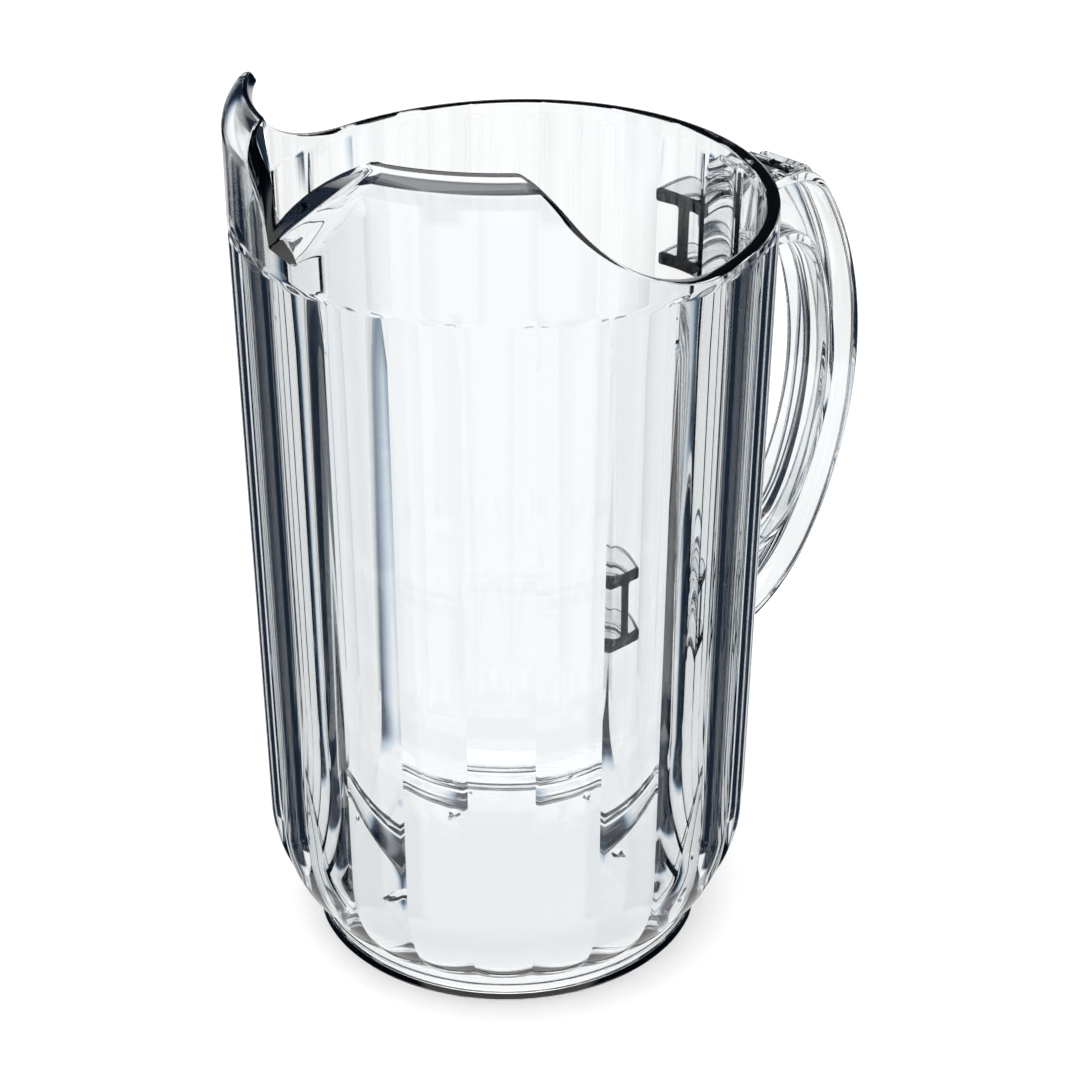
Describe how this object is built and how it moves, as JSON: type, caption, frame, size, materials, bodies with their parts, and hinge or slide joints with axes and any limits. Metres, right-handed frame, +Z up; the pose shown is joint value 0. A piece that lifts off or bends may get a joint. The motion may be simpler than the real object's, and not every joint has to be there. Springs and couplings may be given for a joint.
{
  "type": "beer pitcher",
  "caption": "Clear lobed serving jug with a V-shaped pouring beak between two raised curled wings, a foot ring, and a loop handle of I section with a ribbed thumb rest.",
  "frame": {"origin": "centre of the foot ring's resting face, on the jug's axis", "axes": "+Z up along the jug's axis, +X towards the handle, so that the beak points to -X"},
  "size_m": [0.1838, 0.1218, 0.2123],
  "materials": {
    "clear_body": "clear polished",
    "clear_handle": "clear polished"
  },
  "bodies": {
    "root": {"jug_body": "clear_body", "handle": "clear_handle"}
  },
  "joints": []
}
